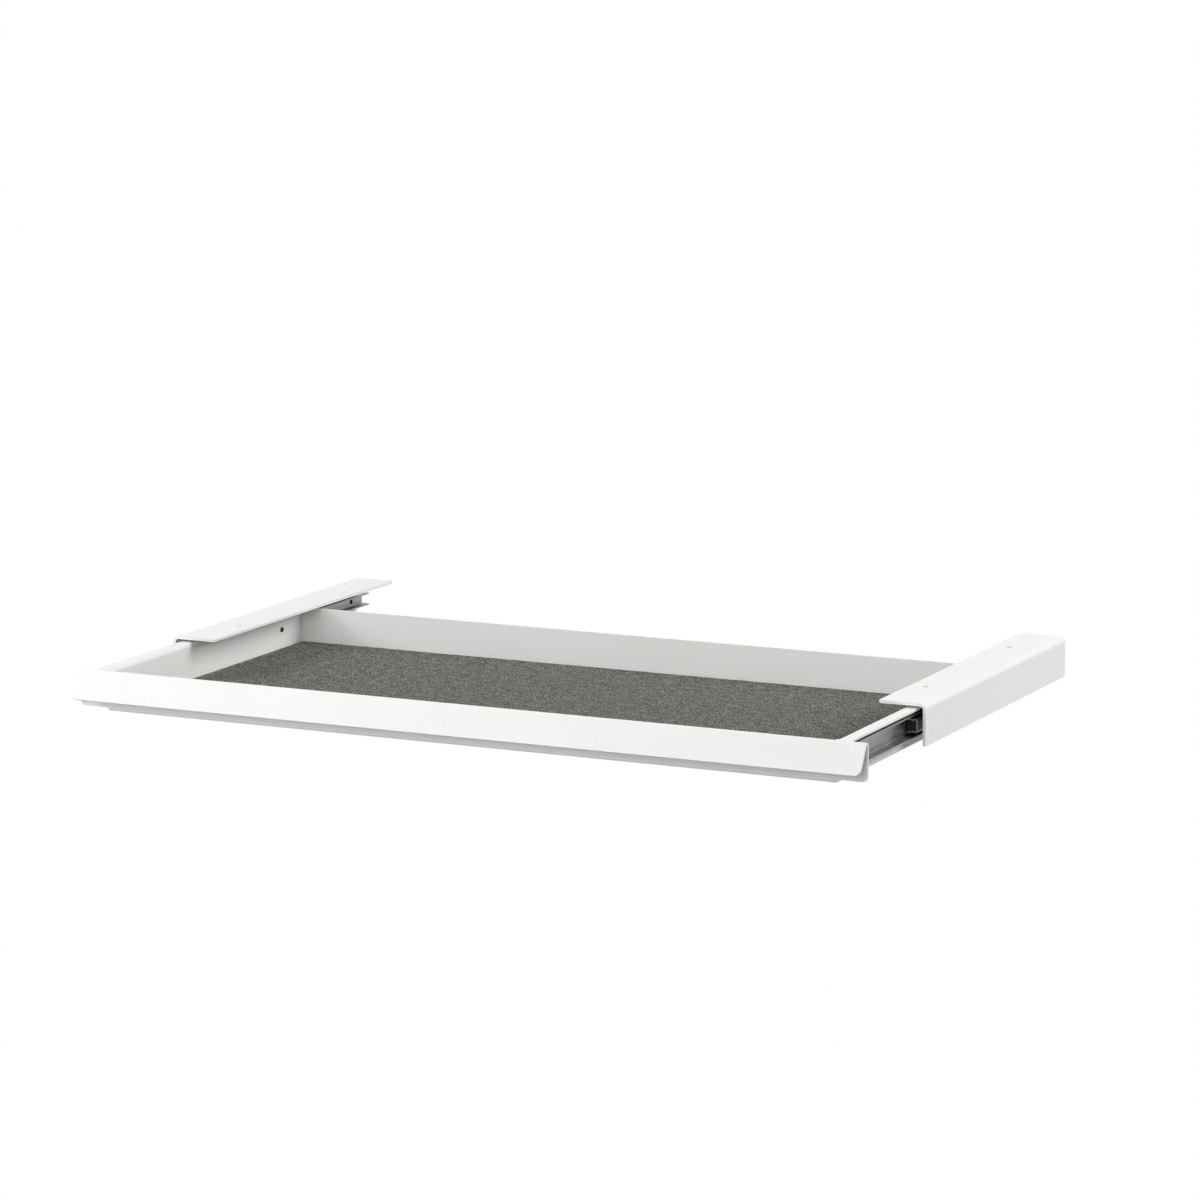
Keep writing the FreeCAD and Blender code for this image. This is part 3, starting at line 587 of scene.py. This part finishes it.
def spun(name, half):
    """A round piece about the X axis, from its half outline of (along, out) points."""
    form = bmesh.new()
    corners = [form.verts.new((along, 0, out)) for along, out in half]
    edges = [form.edges.new(pair) for pair in zip(corners, corners[1:])]
    bmesh.ops.spin(
        form, geom=corners + edges, cent=(0, 0, 0), axis=(1, 0, 0), dvec=(0, 0, 0),
        angle=math.tau, steps=SPIN_STEPS, use_merge=True,
    )
    bmesh.ops.remove_doubles(form, verts=form.verts, dist=SEAM)
    bmesh.ops.recalc_face_normals(form, faces=form.faces)
    return mesh_from(name, form)


def gathered(name, mesh, places, node):
    """Copies of a mesh at several places, as one piece that replaces a part."""
    form = bmesh.new()
    for place in places:
        known = set(form.verts)
        form.from_mesh(mesh)
        added = [vert for vert in form.verts if vert not in known]
        bmesh.ops.transform(form, matrix=place, verts=added)
    piece = add_object(name, mesh_from(name, form), FINISHES[slot_of[node]])
    return stand_in(piece, node)


print("round pieces are spun in", SPIN_STEPS, "steps")

# %% [markdown]
# The slides are fixed with small black pan-head screws. The screwdriver's cross is cut out of
# the head: two bars that narrow towards their deep end are taken away one after the other with
# boolean modifiers, whose result is kept as a mesh. The cross's reach and width are shares of
# the head's radius, and its depth is a share of the head's height. A cut like this can leave
# faces too thin to see, so points closer than a few millionths of a metre are joined afterwards.

# %% Draw a screw and cut its cross recess
PAN_HEAD = [(0, 0), (0, 0.5), (0.1, 0.78), (0.34, 0.95), (0.66, 1), (0.92, 1), (1, 0.96)]
SHANK_CHAMFER = 0.2
CROSS_REACH = 0.62
CROSS_WIDTH = 0.26
CROSS_DEPTH = 0.55
CROSS_TAPER = 0.6
SLIVER = 4e-6


def spun_screw(length, head_radius, head_height, shank_radius):
    """A pan-head screw, with the top of its head at 0."""
    chamfer = SHANK_CHAMFER * shank_radius
    return spun("plain_screw", scaled(PAN_HEAD, head_height, head_radius) + [
        (head_height, shank_radius), (length - chamfer, shank_radius),
        (length, shank_radius - chamfer), (length, 0),
    ])


def recess_bar(reach, width, depth, turn):
    form = bmesh.new()
    stretch = Matrix.Diagonal((2 * depth, 2 * reach, width, 1))
    bmesh.ops.create_cube(form, size=1, matrix=Matrix.Rotation(turn, 4, "X") @ stretch)
    deep = [vert for vert in form.verts if vert.co.x > 0]
    bmesh.ops.scale(form, vec=(1, CROSS_TAPER, CROSS_TAPER), verts=deep)
    return add_object("recess_bar", mesh_from("recess_bar", form), black_screws)


def with_cross(mesh, reach, width, depth):
    """The screw's mesh with a cross recess."""
    screw = add_object("screw_blank", mesh, black_screws)
    bars = [recess_bar(reach, width, depth, turn) for turn in (0, math.pi / 2)]
    for bar in bars:
        cut = screw.modifiers.new("recess", "BOOLEAN")
        cut.operation = "DIFFERENCE"
        cut.solver = "EXACT"
        cut.object = bar
    graph = bpy.context.evaluated_depsgraph_get()
    finished = bpy.data.meshes.new_from_object(screw.evaluated_get(graph))
    for helper in [screw] + bars:
        bpy.data.objects.remove(helper, do_unlink=True)
    form = bmesh.new()
    form.from_mesh(finished)
    bmesh.ops.remove_doubles(form, verts=form.verts, dist=SLIVER)
    bmesh.ops.dissolve_degenerate(form, edges=form.edges, dist=SLIVER)
    form.to_mesh(finished)
    form.free()
    return finished


print("cross recesses are", CROSS_DEPTH, "of a head's height deep")

# %% [markdown]
# Each part of the engineering model that stands for screws holds two of them, one at each end
# of its box, so the box gives their places and sizes. On the right side the heads look left,
# and on the left side they look right. The two screws of a part are driven home at different
# angles, given in radians.

# %% Put the screws in their places
SHANK_RADIUS = 1.5 * MM
HEAD_HEIGHTS = {"rail_screws": 1.2 * MM, "cabinet_screws": 2.4 * MM}
SCREW_TURNS = (0.4, 1.1)
SCREW_CRISP = 38


def dressed_screws(node, head_height):
    low, high = (Vector(corner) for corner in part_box(node))
    radius = (high.z - low.z) / 2
    mesh = spun_screw(high.x - low.x, radius, head_height, SHANK_RADIUS)
    mesh = with_cross(
        mesh, CROSS_REACH * radius, CROSS_WIDTH * radius, CROSS_DEPTH * head_height
    )
    shade(mesh, SCREW_CRISP)
    on_left = high.x < 0
    facing = Matrix.Rotation(math.pi if on_left else 0, 4, "Z")
    across = high.x if on_left else low.x
    level = (low.z + high.z) / 2
    places = []
    for along, turn in zip((low.y + radius, high.y - radius), SCREW_TURNS):
        driven = Matrix.Rotation(turn, 4, "X")
        places.append(Matrix.Translation((across, along, level)) @ facing @ driven)
    return gathered(node + "_cross", mesh, places, node)


for side in SIDES:
    for kind, head_height in HEAD_HEIGHTS.items():
        piece = dressed_screws(f"{side}_{kind}", head_height)
        print(piece.name, len(piece.data.polygons), "faces")

# %% [markdown]
# The front panel is riveted to the tray. A rivet has a low dome in front and a formed end inside
# the tray, where the tool has squashed its tail into a smaller, flatter dome. The box of the
# engineering model's rivets gives their length and the places of the two end ones.

# %% Rivets
RIVET_COUNT = 3
RIVET_SHANK = 1.5 * MM
RIVET_HEAD = 1.0 * MM
RIVET_TAIL = 0.8 * MM
RIVET_TAIL_RADIUS = 2.2 * MM
RIVET_DOME = [(0, 0), (0.05, 0.35), (0.25, 0.68), (0.55, 0.9), (0.85, 1), (1, 1)]
RIVET_FORMED_END = [(0, 0.97), (0.35, 1), (0.7, 0.86), (0.95, 0.55)]
RIVET_CRISP = 50


def domed_rivets(node):
    low, high = (Vector(corner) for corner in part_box(node))
    length = high.y - low.y
    radius = (high.z - low.z) / 2
    neck = length - RIVET_TAIL
    dome = scaled(RIVET_DOME, RIVET_HEAD, radius)
    shank = [(RIVET_HEAD, RIVET_SHANK), (neck, RIVET_SHANK)]
    formed_end = scaled(RIVET_FORMED_END, RIVET_TAIL, RIVET_TAIL_RADIUS, neck)
    mesh = spun("plain_rivet", dome + shank + formed_end + [(length, 0)])
    shade(mesh, RIVET_CRISP)
    pitch = (high.x - low.x - 2 * radius) / (RIVET_COUNT - 1)
    backwards = Matrix.Rotation(math.pi / 2, 4, "Z")
    places = []
    for step in range(RIVET_COUNT):
        spot = (low.x + radius + step * pitch, low.y, (low.z + high.z) / 2)
        places.append(Matrix.Translation(spot) @ backwards)
    return gathered(node + "_domed", mesh, places, node)


rivets = domed_rivets("panel_rivets")
print(rivets.name, len(rivets.data.polygons), "faces")

# %% [markdown]
# The engineering model draws each bearing ball as a small many-sided bead, whose corners lie on
# the true ball. Here the beads become smooth balls of the true size in the same places.

# %% Bearing balls
BALL_RADIUS = 1.5 * MM
BALLS_ALONG = 3
BALL_SEGMENTS = 24
BALL_RINGS = 12


def smooth_balls(node):
    low, high = (Vector(corner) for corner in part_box(node))
    bead = (high.x - low.x) / 2
    form = bmesh.new()
    bmesh.ops.create_uvsphere(
        form, u_segments=BALL_SEGMENTS, v_segments=BALL_RINGS, radius=BALL_RADIUS
    )
    ball = mesh_from("ball", form)
    shade(ball)
    places = []
    for step in range(BALLS_ALONG):
        along = low.y + bead + step * (high.y - low.y - 2 * bead) / (BALLS_ALONG - 1)
        for level in (low.z + bead, high.z - bead):
            places.append(Matrix.Translation(((low.x + high.x) / 2, along, level)))
    return gathered(node + "_round", ball, places, node)


for side in SIDES:
    balls = smooth_balls(f"{side}_balls")
    print(balls.name, len(balls.data.polygons), "faces")

# %% [markdown]
# A drawer on its own hangs in the air, as it does under a desk top, so the floor lies a desk's
# height below it. Near the drawer the floor is a plain pale surface that takes the shadow.
# Further out it fades to white wherever it is seen, straight or in a shiny surface, which gives
# the clean white background of a product picture. The floor bounces back less light than its
# pale look suggests, so the drawer's underside and the space behind its flap stay in shade.

# %% Floor and background
FLOOR_LEVEL = -0.72
FLOOR_REACH = 15.0
FLOOR_SQUARES = 8
FLOOR_ROUGHNESS = 0.9
SHADOW_NEAR = 0.5
SHADOW_FAR = 0.8
FLOOR_PALE = 0.9
FLOOR_BOUNCE = 0.25
CLEAN_WHITE = 1.0


def seen_directly(tree):
    """1 for rays from the camera, mirrors and glass."""
    rays = tree.nodes.new("ShaderNodeLightPath").outputs
    camera_or_mirror = reckon(tree, "MAXIMUM", rays["Is Camera Ray"], rays["Is Glossy Ray"])
    return reckon(tree, "MAXIMUM", camera_or_mirror, rays["Is Transmission Ray"])


def distance_away(tree):
    """How far a point of the floor lies from the middle, in metres."""
    place = tree.nodes.new("ShaderNodeTexCoord")
    flat = tree.nodes.new("ShaderNodeVectorMath")
    flat.operation = "MULTIPLY"
    flat.inputs[1].default_value = (1, 1, 0)
    away = tree.nodes.new("ShaderNodeVectorMath")
    away.operation = "LENGTH"
    tree.links.new(place.outputs["Object"], flat.inputs[0])
    tree.links.new(flat.outputs["Vector"], away.inputs[0])
    return away.outputs["Value"]


def floor_finish():
    finish, tree, shader = start_finish("studio_floor", (FLOOR_PALE,) * 3, FLOOR_ROUGHNESS)
    shader.inputs["Specular IOR Level"].default_value = 0.0
    seen = seen_directly(tree)
    paleness = spread(tree, seen, FLOOR_BOUNCE, FLOOR_PALE, 0, 1)
    tree.links.new(paleness, shader.inputs["Base Color"])
    white = tree.nodes.new("ShaderNodeEmission")
    white.inputs["Strength"].default_value = CLEAN_WHITE
    far = spread(tree, distance_away(tree), 0, 1, SHADOW_NEAR, SHADOW_FAR)
    mix = tree.nodes.new("ShaderNodeMixShader")
    tree.links.new(reckon(tree, "MULTIPLY", far, seen), mix.inputs["Fac"])
    tree.links.new(shader.outputs["BSDF"], mix.inputs[1])
    tree.links.new(white.outputs["Emission"], mix.inputs[2])
    tree.links.new(mix.outputs["Shader"], tree.nodes["Material Output"].inputs["Surface"])
    return finish


floor_form = bmesh.new()
bmesh.ops.create_grid(
    floor_form, x_segments=FLOOR_SQUARES, y_segments=FLOOR_SQUARES, size=FLOOR_REACH
)
bmesh.ops.translate(floor_form, vec=(0, 0, FLOOR_LEVEL), verts=floor_form.verts)
floor = add_object("studio_floor", mesh_from("studio_floor", floor_form), floor_finish())
print("floor", FLOOR_LEVEL, "m below the desk face")

# %% [markdown]
# White paint shows its folds only by small steps of brightness, so broad lamps stand round
# the drawer like softboxes. Two on the left, one of them high up, light the tops and the back
# wall, and together they leave a soft shadow in the tray's left corner. The strong right one
# stands a little behind the drawer and lights the outer side and the left wall. The front one
# keeps the flap and the strip under it bright, and a small low lamp near the left front corner
# makes that strip grow darker towards the right. There is hardly any other light, so the
# insides of the slides fall into shade, as they do in the picture. Each lamp has a direction,
# a distance and a width in metres, and a power in watts.

# %% Light
SURROUND = 0.01
LAMPS = {
    "left_lamp": (Vector((-1, -0.6, 0.55)), 3.4, 1.5, 31.0),
    "high_left_lamp": (Vector((-1, -0.3, 0.9)), 3.4, 1.5, 37.5),
    "right_lamp": (Vector((0.94, 0.38, 0.7)), 3.4, 2.4, 106.0),
    "front_lamp": (Vector((0.12, -1, 0.38)), 3.4, 2.4, 61.0),
    "low_lamp": (Vector((-0.8, -1, -0.35)), 1.6, 0.9, 3.6),
}


def studio_surround():
    """A world that looks white but gives off hardly any light."""
    world = bpy.data.worlds.new("studio_surround")
    world.use_nodes = True
    tree = world.node_tree
    background = tree.nodes["Background"]
    background.inputs["Color"].default_value = (1, 1, 1, 1)
    strength = spread(tree, seen_directly(tree), SURROUND, CLEAN_WHITE, 0, 1)
    tree.links.new(strength, background.inputs["Strength"])
    return world


def lamp(name, direction, away, width, power):
    """A square lamp that looks at the drawer."""
    data = bpy.data.lights.new(name, "AREA")
    data.energy = power
    data.size = width
    thing = bpy.data.objects.new(name, data)
    bpy.context.collection.objects.link(thing)
    towards = direction.normalized()
    turn = (-towards).to_track_quat("-Z", "Y").to_matrix().to_4x4()
    thing.matrix_world = Matrix.Translation(towards * away) @ turn
    return thing


bpy.context.scene.world = studio_surround()
bpy.context.scene.view_settings.view_transform = "Standard"
for name, values in LAMPS.items():
    print(lamp(name, *values).name, values[-1], "watts")
print("light around the drawer", SURROUND)
